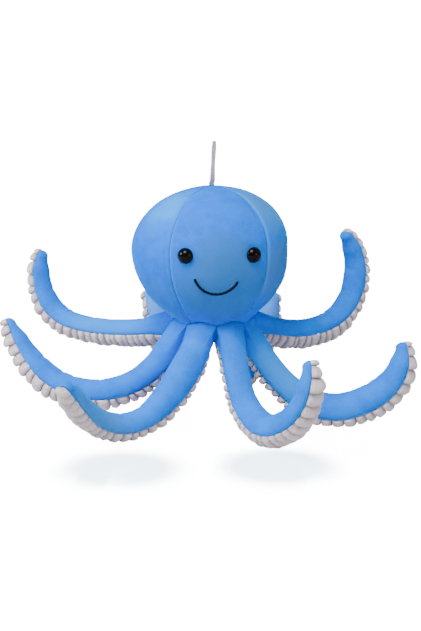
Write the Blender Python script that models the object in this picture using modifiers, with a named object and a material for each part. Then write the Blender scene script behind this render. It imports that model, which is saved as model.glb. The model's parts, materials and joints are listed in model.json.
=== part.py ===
"""Plush octopus: about half a metre across its arms, 34 cm tall with its hanging loop.

Five velour panels close over a stuffed head. Eight stuffed arms are sewn side by side round the neck.
Each arm has a smooth cover on top and a gathered, ribbed strip underneath, and it swings at its root,
where a round knuckle sits in a socket of the head's filling. Five arms reach the floor.

Units are metres and +Z is up. The face looks along -Y, and left and right are the viewer's.
Azimuths are counted from the face, positive towards +X.
"""

import math

import bmesh
import bpy
from mathutils import Matrix, Vector

MM = 0.001

# Driving dimensions of the arms
ARM_COUNT = 8
ARM_LENGTH = 283 * MM
ARM_RADIUS = 17.4 * MM
KNUCKLE_RADIUS = 14.5 * MM
TIP_RADIUS = 8 * MM
KNUCKLE_SPACING = 1.6 * MM
ROOT_HEIGHT = 111.7 * MM
COVER_THICKNESS = 1.2 * MM
UNDERSIDE_THICKNESS = 2.8 * MM
RIB_DEPTH = 1.7 * MM
RIB_PROUD = 2.3 * MM
FLAT_DEPTH = 1.2 * MM

# Driving dimensions of the head
HEAD_RADIUS = 94 * MM
HEAD_RISE = 75 * MM
NECK_DROP = 80 * MM
NECK_SEAM_HEIGHT = 3 * MM
PANEL_THICKNESS = 2 * MM
SEAM_DEPTH = 1.6 * MM
CROWN_HOLE_RADIUS = 4.4 * MM
CORE_HEIGHT = 27.5 * MM
CORE_RADIUS = 23 * MM
BASE_THICKNESS = 2 * MM

# Driving dimensions of the face and the loop
EYE_RADIUS = 9 * MM
EYE_DOME_HEIGHT = 6.4 * MM
EYE_RIM_HEIGHT = 0.8 * MM
EYE_SHANK_RADIUS = 2.4 * MM
EYE_SHANK_LENGTH = 12 * MM
EYE_RISE = 1 * MM
WASHER_RADIUS = 8 * MM
WASHER_THICKNESS = 1.4 * MM
MOUTH_THREAD_RADIUS = 1 * MM
MOUTH_BOTTOM_DROP = 43.5 * MM
MOUTH_HEIGHT = 17 * MM
LOOP_HEIGHT = 51 * MM
LOOP_SPREAD = 8 * MM
RIBBON_WIDTH = 5.6 * MM
RIBBON_THICKNESS = 0.9 * MM
ANCHOR_DEPTH = 9 * MM
ANCHOR_PROUD = 0.8 * MM

# Clearances between meshes that touch in the toy
LAYER_GAP = 0.4 * MM
SEAM_GAP = 0.4 * MM
STRIP_GAP = 1.2 * MM
SOCKET_GAP = 1.4 * MM
SHANK_GAP = 0.5 * MM
CUT_OVERRUN = 2 * MM

# Shape factors and angles
HEAD_SQUARENESS = 2.09
NECK_REACH_SHARE = 0.738
FACE_HALF_ANGLE = 38.0
PANEL_SEAMS = (-180.0, -109.0, -38.0, 38.0, 109.0, 180.0)
PANEL_NAMES = ("head_panel_back_left", "head_panel_left", "head_panel_face", "head_panel_right",
               "head_panel_back_right")
PANEL_STEPS = 6
UPPER_ROWS = 6
LOWER_ROWS = 6
SEAM_SHARPNESS = 6
SEAM_FADE_SHARE = 0.4
FACE_TURN = -0.8
EYE_AZIMUTH = 24.5
MOUTH_AZIMUTH = -3.4
MOUTH_HALF_ANGLE = 15.4
MOUTH_STEPS = 14
LOOP_STEPS = 12
LOOP_FOOT_STEPS = 4
LOOP_LEAN = 0.8
LOOP_FULLNESS = 0.7
LOOP_JOINED_SHARE = 0.08
SIDE_SEAM_ANGLE = 108.0
ARM_SEGMENTS = 14
RIBS_PER_SEGMENT = 2
RIB_FULL_SHARE = 0.2
FINE_STEPS = 6
ROOT_TILTS = (-62.0, -31.0)
TIP_TILTS = (35.0, 66.0)
COVER_SEAM_SHARES = (-1.0, -0.6, -0.2, 0.2, 0.6, 1.0)
UNDERSIDE_SHARES = (-1.0, -0.5, 0.0, 0.5, 1.0)
CORE_PROFILE_SHARES = ((0.36, 0.66), (0.70, 0.30), (1.0, 0.0))

# Thickness along an arm: share of its length, share of the arm's radius.
# The first comes from the knuckle and the last from the tip.
ARM_SWELL_SHARES = ((0.12, 1.0), (0.5, 0.99), (0.75, 0.97), (0.92, 0.82))

# Each arm: root azimuth, whether it stands on the floor, then the angles in degrees along its length
# from root to tip. Pitch is the climb, turn the swing of its heading away from the root's azimuth,
# and roll the twist of its seams.
ARM_POSES = {
    "arm_front_left": (-22.5, True, (-41, -49, -37, 16, 39, 37), (-2, -39, -41, -16, 3),
                       (10, -9, -2, -14, -15)),
    "arm_front_right": (22.5, True, (-37, -65, -27, 19, 49, 100), (-20, -3, -2, 2, 2),
                        (-26, -17, -11, 13, 42)),
    "arm_side_left": (-67.5, False, (-58, -44, -14, 15, 45, 64), (-4, -20, -36, -50, -53),
                      (-7, -9, 8, 27, 49)),
    "arm_side_right": (67.5, True, (-60, -51, -30, 12, 47, 99), (0, -3, 0, -3, -10),
                       (6, 16, 11, 12, 25)),
    "arm_raised_left": (-112.5, False, (-17, -9, -2, 14, 65, 108), (-1, -21, -14, -8, 1),
                        (8, 13, 14, 15, 2)),
    "arm_raised_right": (112.5, False, (-20, -12, 5, 42, 90, 135), (-2, 0, 5, 12, 12),
                         (-6, -12, -22, -15, 0)),
    "arm_back_left": (-157.5, True, (-52, -59, -29, 34, 57, 56), (2, -12, -18, -3, 14),
                      (-8, 6, 20, 28, 32)),
    "arm_back_right": (157.5, True, (-50, -52, -33, 24, 58, 73), (-10, 0, -3, -18, -36),
                       (-1, -16, -16, -6, 5)),
}
SETTLE_LIMIT = 20.0
SETTLE_STEPS = 40

# Derived sizes
ARM_RING_RADIUS = (KNUCKLE_RADIUS + KNUCKLE_SPACING / 2) / math.sin(math.pi / ARM_COUNT)
NECK_Z = ROOT_HEIGHT + KNUCKLE_RADIUS + NECK_SEAM_HEIGHT
HEAD_RING_Z = NECK_Z + NECK_DROP
NECK_RADIUS = ARM_RING_RADIUS + NECK_REACH_SHARE * KNUCKLE_RADIUS
HEAD_DROP = NECK_DROP / math.sqrt(1 - (NECK_RADIUS / HEAD_RADIUS) ** 2)
CROWN_Z = HEAD_RING_Z + HEAD_RISE
CORE_BOTTOM_Z = NECK_Z - CORE_HEIGHT
FILLING_DEPTH = PANEL_THICKNESS + LAYER_GAP

BLUE = (0.085, 0.36, 0.9)
WHITE = (0.72, 0.69, 0.71)
FIBRE = (0.9, 0.9, 0.88)
BLACK = (0.008, 0.008, 0.009)


def clear_scene():
    """Remove what the scene holds and make the two collections."""
    for obj in list(bpy.data.objects):
        bpy.data.objects.remove(obj, do_unlink=True)
    parts = bpy.data.collections.new("plush_octopus")
    cutters = bpy.data.collections.new("cutters")
    for collection in (parts, cutters):
        bpy.context.scene.collection.children.link(collection)
    return parts, cutters


PARTS, CUTTERS = clear_scene()


def material(name, color, roughness, metallic=0.0):
    """A Principled material with one colour."""
    mat = bpy.data.materials.new(name)
    mat.use_nodes = True
    shader = mat.node_tree.nodes["Principled BSDF"]
    shader.inputs["Base Color"].default_value = (*color, 1.0)
    shader.inputs["Roughness"].default_value = roughness
    shader.inputs["Metallic"].default_value = metallic
    return mat


def add_object(name, data, color, roughness, parent=None):
    """Link a piece's data as an object with its own material."""
    obj = bpy.data.objects.new(name, data)
    data.materials.append(material(name, color, roughness))
    obj.parent = parent
    PARTS.objects.link(obj)
    return obj


def mesh_from(name, bm):
    """Turn a bmesh into a smooth-shaded mesh."""
    mesh = bpy.data.meshes.new(name)
    bm.to_mesh(mesh)
    bm.free()
    mesh.shade_smooth()
    mesh.set_sharp_from_angle(angle=math.radians(40))
    return mesh


def loft(name, rings, cap_groups, angle_order):
    """Close a skin over a row of rings; cap_groups are the index groups that close each end ring.

    Layers of one arm bend alike because each quad is split from its lower angle to its higher one.
    """
    bm = bmesh.new()
    rows = [[bm.verts.new(point) for point in ring] for ring in rings]
    count = len(rings[0])
    for row, following in zip(rows, rows[1:]):
        for i in range(count):
            j = (i + 1) % count
            if angle_order[i] <= angle_order[j]:
                bm.faces.new((row[i], row[j], following[j]))
                bm.faces.new((row[i], following[j], following[i]))
            else:
                bm.faces.new((row[i], row[j], following[i]))
                bm.faces.new((row[j], following[j], following[i]))
    for row in (rows[0], rows[-1]):
        for group in cap_groups:
            bm.faces.new([row[i] for i in group])
    bmesh.ops.recalc_face_normals(bm, faces=bm.faces)
    return mesh_from(name, bm)


def smooth_value(values, share):
    """Read a smooth curve through evenly spaced values."""
    last = len(values) - 1
    place = min(max(share, 0.0), 1.0) * last
    i = min(int(place), last - 1)
    u = place - i
    before = values[max(i - 1, 0)]
    after = values[min(i + 2, last)]
    start_slope = (values[i + 1] - before) / (2 if i > 0 else 1)
    end_slope = (after - values[i]) / (2 if i + 2 <= last else 1)
    return ((2 * u**3 - 3 * u**2 + 1) * values[i] + (u**3 - 2 * u**2 + u) * start_slope
            + (3 * u**2 - 2 * u**3) * values[i + 1] + (u**3 - u**2) * end_slope)


def arm_radius(share):
    """Radius of an arm at a share of its length."""
    table = [(0.0, KNUCKLE_RADIUS)]
    table += [(place, ARM_RADIUS * swell) for place, swell in ARM_SWELL_SHARES]
    table.append((1.0, TIP_RADIUS))
    for (s0, r0), (s1, r1) in zip(table, table[1:]):
        if share <= s1:
            u = (share - s0) / (s1 - s0)
            return r0 + (r1 - r0) * (3 * u**2 - 2 * u**3)
    return TIP_RADIUS


class Station:
    """A place along an arm: its centre, its frame, its radius and how far the ring tips to a pole."""

    def __init__(self, centre, frame, radius, tilt=0.0):
        self.centre = centre
        self.along, self.up, self.side = frame
        self.radius = radius
        self.tilt = math.radians(tilt)

    def point(self, angle, depth):
        """A point at an angle from the top seam line, a depth below the arm's skin."""
        reach = self.radius - depth
        outward = math.cos(angle) * self.up + math.sin(angle) * self.side
        return self.centre + reach * (math.cos(self.tilt) * outward + math.sin(self.tilt) * self.along)

    def seam_angle(self, sign):
        """The angle of the side seam's edge, with its gap on one side."""
        lever = (self.radius - UNDERSIDE_THICKNESS) * math.cos(self.tilt)
        return math.radians(SIDE_SEAM_ANGLE) + sign * SEAM_GAP / 2 / lever


def arm_frame(pitch, turn, roll):
    """Along, up and side directions from the three angles of a pose."""
    p = math.radians(pitch)
    h = math.radians(turn)
    along = Vector((math.sin(h) * math.cos(p), -math.cos(h) * math.cos(p), math.sin(p)))
    up = Vector((-math.sin(h) * math.sin(p), math.cos(h) * math.sin(p), math.cos(p)))
    twist = Matrix.Rotation(math.radians(roll), 3, along)
    up = twist @ up
    return along, up, up.cross(along)


def arm_stations(pitches, turns, rolls):
    """Walk down the arm from its knuckle, in the frame of its root."""
    def frame(share):
        return arm_frame(*(smooth_value(table, share) for table in (pitches, turns, rolls)))

    centre = Vector((0.0, 0.0, 0.0))
    fine_count = ARM_SEGMENTS * FINE_STEPS
    tube = [Station(centre.copy(), frame(0.0), KNUCKLE_RADIUS)]
    for step in range(fine_count):
        centre += frame((step + 0.5) / fine_count)[0] * ARM_LENGTH / fine_count
        if (step + 1) % FINE_STEPS == 0:
            share = (step + 1) / fine_count
            tube.append(Station(centre.copy(), frame(share), arm_radius(share)))
    root = [Station(tube[0].centre, frame(0.0), KNUCKLE_RADIUS, tilt) for tilt in ROOT_TILTS]
    tip = [Station(tube[-1].centre, frame(1.0), TIP_RADIUS, tilt) for tilt in TIP_TILTS]
    return root, tube, tip


def cover_ring(station):
    """Outer and inner arc of the smooth cover."""
    edge = station.seam_angle(-1)
    full = math.radians(SIDE_SEAM_ANGLE)
    angles = [edge * s if abs(s) == 1 else full * s for s in COVER_SEAM_SHARES]
    outer = [station.point(angle, 0.0) for angle in angles]
    inner = [station.point(angle, COVER_THICKNESS) for angle in reversed(angles)]
    return outer + inner


def underside_ring(station, rib_depth, rib_proud=0.0):
    """Outer and inner arc of the ribbed strip, standing proud in its middle on top of a rib."""
    half = math.pi - station.seam_angle(1)
    outer = [station.point(math.pi + half * share, rib_depth - rib_proud * (1 - share**2))
             for share in UNDERSIDE_SHARES]
    inner = [station.point(math.pi + half * share, UNDERSIDE_THICKNESS)
             for share in reversed(UNDERSIDE_SHARES[::2])]
    return outer + inner


def filling_ring(station):
    """Outline of the stuffing inside both covers."""
    full = math.radians(SIDE_SEAM_ANGLE)
    top = [station.point(full * share, COVER_THICKNESS + LAYER_GAP) for share in COVER_SEAM_SHARES[1:-1]]
    low = [station.point(angle, UNDERSIDE_THICKNESS + STRIP_GAP) for angle in (full, math.pi, -full)]
    return top + low


def underside_rings(root, tube, tip):
    """Rings of the ribbed strip: a crease and a crest for each rib, on straight lines between stations.

    The ribs grow over the first part of the arm.
    """
    rings = [underside_ring(station, RIB_DEPTH) for station in root]
    parts = 2 * RIBS_PER_SEGMENT
    for number, (start, end) in enumerate(zip(tube, tube[1:])):
        for k in range(parts):
            grown = min(1.0, (number + k / parts) / (ARM_SEGMENTS * RIB_FULL_SHARE))
            rib = (0.0, RIB_PROUD * grown) if k % 2 else (RIB_DEPTH, 0.0)
            pairs = zip(underside_ring(start, *rib), underside_ring(end, *rib))
            rings.append([a.lerp(b, k / parts) for a, b in pairs])
    rings.append(underside_ring(tube[-1], RIB_DEPTH))
    rings.extend(underside_ring(station, RIB_DEPTH / 2) for station in tip)
    return rings


def settle_lift(rings):
    """The lift at the root that puts the strip's lowest point a flat's depth below the floor."""
    points = [point for ring in rings for point in ring]

    def lowest(lift):
        s, c = math.sin(lift), math.cos(lift)
        return ROOT_HEIGHT + min(c * point.z - s * point.y for point in points)

    low, high = -math.radians(SETTLE_LIMIT), math.radians(SETTLE_LIMIT)
    for _ in range(SETTLE_STEPS):
        middle = (low + high) / 2
        if lowest(middle) < -FLAT_DEPTH:
            low = middle
        else:
            high = middle
    return (low + high) / 2


def strip_caps():
    """End faces and angle order of a strip with five outer and three inner points."""
    return ((0, 1, 2, 6, 7), (2, 3, 4, 5, 6)), (0, 1, 2, 3, 4, 4, 2, 0)


def cover_caps():
    """End faces and angle order of a cover with as many inner as outer points."""
    count = len(COVER_SEAM_SHARES)
    caps = tuple((i, i + 1, 2 * count - 2 - i, 2 * count - 1 - i) for i in range(count - 1))
    return caps, (*range(count), *reversed(range(count)))


def full_caps(count):
    """One end face and the angle order of a ring that goes all the way round."""
    return (tuple(range(count)),), (*range(count - 1), math.inf)


def build_arm(name, pose, parent, floor):
    """One arm: its pivot at the knuckle's centre, cover, ribbed underside and filling."""
    azimuth, stands, pitches, turns, rolls = pose
    a = math.radians(azimuth)
    pivot = bpy.data.objects.new(name + "_pivot", None)
    pivot.empty_display_size = KNUCKLE_RADIUS
    pivot.location = (ARM_RING_RADIUS * math.sin(a), -ARM_RING_RADIUS * math.cos(a), ROOT_HEIGHT)
    pivot.rotation_euler = (0.0, 0.0, a)
    pivot.parent = parent
    PARTS.objects.link(pivot)

    root, tube, tip = arm_stations(pitches, turns, rolls)
    every = root + tube + tip
    strip = underside_rings(root, tube, tip)
    lift = Matrix.Rotation(-settle_lift(strip), 3, "X") if stands else Matrix.Identity(3)

    def lifted(rings):
        return [[lift @ point for point in ring] for ring in rings]

    cover = loft(name + "_cover", lifted([cover_ring(s) for s in every]), *cover_caps())
    add_object(name + "_cover", cover, BLUE, 0.9, pivot)
    underside = add_object(name + "_underside", loft(name + "_underside", lifted(strip), *strip_caps()),
                           WHITE, 0.85, pivot)
    if stands:
        subtract(underside, floor)
    stuffing = lifted([filling_ring(s) for s in every])
    filling = loft(name + "_filling", stuffing, *full_caps(len(stuffing[0])))
    add_object(name + "_filling", filling, FIBRE, 1.0, pivot)


def subtract(obj, cutter):
    """Cut an object by another."""
    boolean = obj.modifiers.new("cut " + cutter.name, "BOOLEAN")
    boolean.operation = "DIFFERENCE"
    boolean.solver = "EXACT"
    boolean.use_self = True
    boolean.object = cutter


def as_cutter(obj, parent):
    """Move an object to the cutters and keep it out of the render."""
    for collection in list(obj.users_collection):
        collection.objects.unlink(obj)
    CUTTERS.objects.link(obj)
    obj.hide_render = True
    obj.display_type = "WIRE"
    obj.parent = parent
    return obj


def floor_cutter(parent):
    """A block under the floor that flattens what stands on it."""
    reach = ARM_RING_RADIUS + ARM_LENGTH + ARM_RADIUS
    bm = bmesh.new()
    bmesh.ops.create_cube(bm, size=1.0)
    bmesh.ops.scale(bm, vec=(2 * reach, 2 * reach, ARM_RADIUS), verts=bm.verts)
    obj = bpy.data.objects.new("floor_cutter", mesh_from("floor_cutter", bm))
    obj.location = (0.0, 0.0, -ARM_RADIUS / 2)
    return as_cutter(obj, parent)


def head_profile(angle):
    """Radius and height of the head at an angle above its widest ring."""
    if angle >= 0:
        power = 2 / HEAD_SQUARENESS
        return (HEAD_RADIUS * math.cos(angle) ** power, HEAD_RING_Z + HEAD_RISE * math.sin(angle) ** power)
    return HEAD_RADIUS * math.cos(angle), HEAD_RING_Z + HEAD_DROP * math.sin(angle)


def head_row_angles():
    """Angles of the head's rows, from the loop's hole at the crown down to the neck."""
    top = math.acos((CROWN_HOLE_RADIUS / HEAD_RADIUS) ** (HEAD_SQUARENESS / 2))
    neck = math.asin(NECK_DROP / HEAD_DROP)
    upper = [top * (1 - i / UPPER_ROWS) for i in range(UPPER_ROWS)]
    lower = [-neck * i / LOWER_ROWS for i in range(LOWER_ROWS + 1)]
    return upper + lower


def head_skin(angle, depth):
    """Radius and height of the head's profile, a depth below its skin."""
    step = 0.001
    near = Vector(head_profile(min(angle + step, math.pi / 2)))
    far = Vector(head_profile(angle - step))
    tangent = (near - far).normalized()
    normal = Vector((tangent.y, -tangent.x))
    return Vector(head_profile(angle)) - depth * normal


def seam_pinch(share, radius=HEAD_RADIUS):
    """How deep a panel is drawn in at a share of its width; the seams fade out towards the crown."""
    return SEAM_DEPTH * abs(2 * share - 1) ** SEAM_SHARPNESS * min(1.0, radius / (SEAM_FADE_SHARE * HEAD_RADIUS))


def head_azimuths():
    """Azimuth and place within its panel of each column of the whole head."""
    columns = []
    for start, end in zip(PANEL_SEAMS, PANEL_SEAMS[1:]):
        for step in range(PANEL_STEPS):
            share = step / PANEL_STEPS
            columns.append((math.radians(start + (end - start) * share), share))
    return columns


def on_head(azimuth, radius, z):
    """A point at an azimuth counted from the face."""
    return Vector((radius * math.sin(azimuth), -radius * math.cos(azimuth), z))


def build_panel(name, start, end, parent):
    """A sewn panel: the profile spun between two seams, drawn in at them, with its thickness inside."""
    bm = bmesh.new()
    a0 = math.radians(start)
    width = math.radians(end - start)
    profile = [bm.verts.new(on_head(a0, *head_profile(angle))) for angle in head_row_angles()]
    edges = [bm.edges.new(pair) for pair in zip(profile, profile[1:])]
    bmesh.ops.spin(bm, geom=profile + edges, cent=(0, 0, 0), axis=(0, 0, 1), angle=width,
                   steps=PANEL_STEPS, use_duplicate=False)
    middle = a0 + width / 2
    turn_back = Matrix.Rotation(-middle, 3, "Z")
    for vert in bm.verts:
        local = turn_back @ vert.co
        radius = math.hypot(local.x, local.y)
        offset = math.atan2(local.x, -local.y)
        share = 0.5 + offset / width
        offset *= 1 - SEAM_GAP / (width * radius)
        vert.co = on_head(middle + offset, radius - seam_pinch(share, radius), vert.co.z)
    bm.normal_update()
    if sum(face.normal.dot(face.calc_center_median() - Vector((0, 0, HEAD_RING_Z))) for face in bm.faces) < 0:
        bmesh.ops.reverse_faces(bm, faces=bm.faces)
    panel = add_object(name, mesh_from(name, bm), BLUE, 0.9, parent)
    wall = panel.modifiers.new("panel thickness", "SOLIDIFY")
    wall.thickness = PANEL_THICKNESS
    wall.offset = -1.0
    wall.use_even_offset = True
    return panel


def build_head_filling(parent):
    """The stuffing of the head and neck, with a socket for each knuckle."""
    columns = head_azimuths()

    rings = []
    for angle in head_row_angles():
        radius, z = head_skin(angle, FILLING_DEPTH)
        skin_radius = head_profile(angle)[0]
        rings.append([on_head(azimuth, radius - seam_pinch(share, skin_radius), z)
                      for azimuth, share in columns])
    neck_radius = rings[-1][PANEL_STEPS // 2].xy.length
    for down_share, out_share in CORE_PROFILE_SHARES:
        radius = CORE_RADIUS + (neck_radius - CORE_RADIUS) * out_share
        rings.append([on_head(azimuth, radius, NECK_Z - CORE_HEIGHT * down_share) for azimuth, _ in columns])
    filling = add_object("head_filling", loft("head_filling", rings, *full_caps(len(columns))), FIBRE, 1.0,
                         parent)
    subtract(filling, socket_cutter(parent))
    return filling


def socket_cutter(parent):
    """The round sockets that the arms' knuckles sit in."""
    bm = bmesh.new()
    for azimuth, *_ in ARM_POSES.values():
        place = Matrix.Translation(on_head(math.radians(azimuth), ARM_RING_RADIUS, ROOT_HEIGHT))
        bmesh.ops.create_uvsphere(bm, u_segments=16, v_segments=10, radius=KNUCKLE_RADIUS + SOCKET_GAP,
                                  matrix=place)
    return as_cutter(bpy.data.objects.new("socket_cutter", mesh_from("socket_cutter", bm)), parent)


def build_base_panel(parent):
    """The white disc that closes the body between the arms."""
    bm = bmesh.new()
    bmesh.ops.create_cone(bm, cap_ends=True, segments=24, radius1=CORE_RADIUS - BASE_THICKNESS,
                          radius2=CORE_RADIUS, depth=BASE_THICKNESS)
    base = add_object("base_panel", mesh_from("base_panel", bm), WHITE, 0.85, parent)
    base.location = (0.0, 0.0, CORE_BOTTOM_Z - LAYER_GAP - BASE_THICKNESS / 2)


def turned(name, profile, segments, closed, color, roughness, parent):
    """A turned piece: a profile of radius and height, spun by a Screw modifier."""
    bm = bmesh.new()
    verts = [bm.verts.new((radius, 0.0, z)) for radius, z in profile]
    pairs = list(zip(verts, verts[1:]))
    if closed:
        pairs.append((verts[-1], verts[0]))
    for pair in pairs:
        bm.edges.new(pair)
    mesh = bpy.data.meshes.new(name)
    bm.to_mesh(mesh)
    bm.free()
    obj = add_object(name, mesh, color, roughness, parent)
    screw = obj.modifiers.new("turn", "SCREW")
    screw.steps = segments
    screw.render_steps = segments
    screw.use_merge_vertices = True
    screw.merge_threshold = 0.01 * MM
    screw.use_smooth_shade = True
    return obj


def eye_profile():
    """Dome, rim, flat back and shank of a safety eye, from the crown of the dome inwards."""
    dome_radius = (EYE_RADIUS**2 + EYE_DOME_HEIGHT**2) / (2 * EYE_DOME_HEIGHT)
    centre_z = EYE_RIM_HEIGHT + EYE_DOME_HEIGHT - dome_radius
    sweep = math.asin(EYE_RADIUS / dome_radius)
    steps = 5
    dome = [(dome_radius * math.sin(sweep * i / steps), centre_z + dome_radius * math.cos(sweep * i / steps))
            for i in range(steps + 1)]
    shank = [(EYE_SHANK_RADIUS, 0.0), (EYE_SHANK_RADIUS, -EYE_SHANK_LENGTH), (0.0, -EYE_SHANK_LENGTH)]
    return dome + [(EYE_RADIUS, 0.0)] + shank


def build_eye(side, azimuth, face, filling, parent):
    """A safety eye through the face panel, with its washer behind the panel."""
    a = math.radians(azimuth)
    z = HEAD_RING_Z + EYE_RISE
    share = 0.5 + abs(azimuth) / (2 * FACE_HALF_ANGLE)
    rim_share = share + math.degrees(WASHER_RADIUS / HEAD_RADIUS) / (2 * FACE_HALF_ANGLE)
    radius = head_profile(math.asin(EYE_RISE / HEAD_RISE))[0] - seam_pinch(share)
    outward = Matrix.Rotation(math.pi / 2, 4, "X")
    seat = Matrix.Translation(on_head(a, radius + LAYER_GAP, z)) @ Matrix.Rotation(a, 4, "Z") @ outward

    eye = turned("eye_" + side, eye_profile(), 18, False, BLACK, 0.08, parent)
    eye.matrix_local = seat

    facet_sag = HEAD_RADIUS * (1 - math.cos(math.radians(FACE_HALF_ANGLE) / PANEL_STEPS))
    sag = WASHER_RADIUS**2 / (2 * HEAD_RADIUS) + seam_pinch(rim_share) - seam_pinch(share) + facet_sag
    washer_back = -(4 * LAYER_GAP + PANEL_THICKNESS + sag + WASHER_THICKNESS)
    bore = EYE_SHANK_RADIUS + LAYER_GAP
    ring = [(WASHER_RADIUS, washer_back + WASHER_THICKNESS), (WASHER_RADIUS, washer_back),
            (bore, washer_back), (bore, washer_back + WASHER_THICKNESS)]
    washer = turned("eye_washer_" + side, ring, 18, True, WHITE, 0.5, parent)
    washer.matrix_local = seat

    hole_depth = PANEL_THICKNESS + 2 * CUT_OVERRUN
    subtract(face, rod_cutter("shank_hole_" + side, EYE_SHANK_RADIUS + SHANK_GAP, hole_depth, seat, parent))
    pocket_depth = EYE_SHANK_LENGTH + LAYER_GAP + CUT_OVERRUN
    subtract(filling, rod_cutter("washer_pocket_" + side, WASHER_RADIUS + LAYER_GAP, pocket_depth, seat,
                                 parent))


def rod_cutter(name, radius, depth, seat, parent):
    """A round cutter that reaches from just outside the seat to a depth behind it."""
    bm = bmesh.new()
    middle = Matrix.Translation((0.0, 0.0, CUT_OVERRUN - (depth + CUT_OVERRUN) / 2))
    bmesh.ops.create_cone(bm, cap_ends=True, segments=18, radius1=radius, radius2=radius,
                          depth=depth + CUT_OVERRUN, matrix=middle)
    cutter = as_cutter(bpy.data.objects.new(name, mesh_from(name, bm)), parent)
    cutter.matrix_local = seat
    return cutter


def build_mouth(parent):
    """The smile: a thread laid on the face panel along an arc."""
    curve = bpy.data.curves.new("mouth_thread", "CURVE")
    curve.dimensions = "3D"
    curve.bevel_depth = MOUTH_THREAD_RADIUS
    curve.bevel_resolution = 1
    curve.use_fill_caps = True
    spline = curve.splines.new("POLY")
    spline.points.add(MOUTH_STEPS)
    bottom_z = HEAD_RING_Z - MOUTH_BOTTOM_DROP
    for i in range(MOUTH_STEPS + 1):
        turn = math.pi * i / MOUTH_STEPS
        azimuth = math.radians(MOUTH_AZIMUTH - MOUTH_HALF_ANGLE * math.cos(turn))
        z = bottom_z + MOUTH_HEIGHT * (1 - math.sin(turn))
        angle = math.asin((z - HEAD_RING_Z) / HEAD_DROP)
        radius, height = head_skin(angle, -(MOUTH_THREAD_RADIUS + LAYER_GAP))
        spline.points[i].co = (*on_head(azimuth, radius, height), 1.0)
    add_object("mouth_thread", curve, BLACK, 0.7, parent)


def loop_outline(inset):
    """Half outline of the ribbon loop, from its foot to its fold: half width and height."""
    half = LOOP_SPREAD / 2 - inset
    bottom = LOOP_HEIGHT * LOOP_JOINED_SHARE if inset else 0.0
    top = LOOP_HEIGHT - inset
    points = []
    for i in range(1, LOOP_STEPS):
        u = i / LOOP_STEPS
        swell = math.sin(math.pi * u ** LOOP_LEAN) ** LOOP_FULLNESS
        points.append((half * swell, bottom + (top - bottom) * u))
    return bottom, points, top


def add_outline(curve, inset):
    """Add the loop's closed outline to a flat curve."""
    bottom, points, top = loop_outline(inset)
    foot = [(0.0, bottom)]
    if not inset:
        turns = (math.pi * i / LOOP_FOOT_STEPS for i in range(LOOP_FOOT_STEPS + 1))
        foot = [(-RIBBON_THICKNESS * math.cos(turn), -RIBBON_THICKNESS * math.sin(turn)) for turn in turns]
    outline = foot + points + [(0.0, top)] + [(-x, z) for x, z in reversed(points)]
    spline = curve.splines.new("POLY")
    spline.points.add(len(outline) - 1)
    for place, (x, z) in zip(spline.points, outline):
        place.co = (x, z, 0.0, 1.0)
    spline.use_cyclic_u = True


def build_loop(parent, filling):
    """The hanging loop of flat ribbon on its anchor in the crown seam, with its pivot at the foot."""
    pivot = bpy.data.objects.new("hang_loop_pivot", None)
    pivot.location = (0.0, 0.0, CROWN_Z + ANCHOR_PROUD + LAYER_GAP + RIBBON_THICKNESS)
    pivot.parent = parent
    PARTS.objects.link(pivot)
    curve = bpy.data.curves.new("hang_loop", "CURVE")
    curve.dimensions = "2D"
    curve.fill_mode = "BOTH"
    curve.extrude = RIBBON_WIDTH / 2
    add_outline(curve, 0.0)
    add_outline(curve, RIBBON_THICKNESS)
    loop = add_object("hang_loop", curve, WHITE, 0.4, pivot)
    loop.rotation_euler = (math.pi / 2, 0.0, math.pi / 2)

    bm = bmesh.new()
    bmesh.ops.create_cube(bm, size=1.0)
    height = ANCHOR_DEPTH + ANCHOR_PROUD
    bmesh.ops.scale(bm, vec=(RIBBON_WIDTH, 2 * RIBBON_THICKNESS, height), verts=bm.verts)
    anchor = add_object("loop_anchor", mesh_from("loop_anchor", bm), WHITE, 0.4, parent)
    anchor.location = (0.0, 0.0, CROWN_Z + ANCHOR_PROUD - height / 2)

    bm = bmesh.new()
    bmesh.ops.create_cube(bm, size=1.0)
    bmesh.ops.scale(bm, vec=(RIBBON_WIDTH + 2 * LAYER_GAP, 2 * (RIBBON_THICKNESS + LAYER_GAP),
                             height + 2 * LAYER_GAP), verts=bm.verts)
    pocket = bpy.data.objects.new("anchor_pocket", mesh_from("anchor_pocket", bm))
    pocket.location = anchor.location
    subtract(filling, as_cutter(pocket, parent))


def world_box():
    """Corners of the whole toy."""
    bpy.context.view_layer.update()
    graph = bpy.context.evaluated_depsgraph_get()
    low = Vector((math.inf,) * 3)
    high = -low
    for obj in PARTS.objects:
        if obj.type == "EMPTY":
            continue
        shape = obj.evaluated_get(graph)
        mesh = shape.to_mesh()
        for vert in mesh.vertices:
            place = obj.matrix_world @ vert.co
            low = Vector(map(min, low, place))
            high = Vector(map(max, high, place))
        shape.to_mesh_clear()
    return low, high


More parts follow.
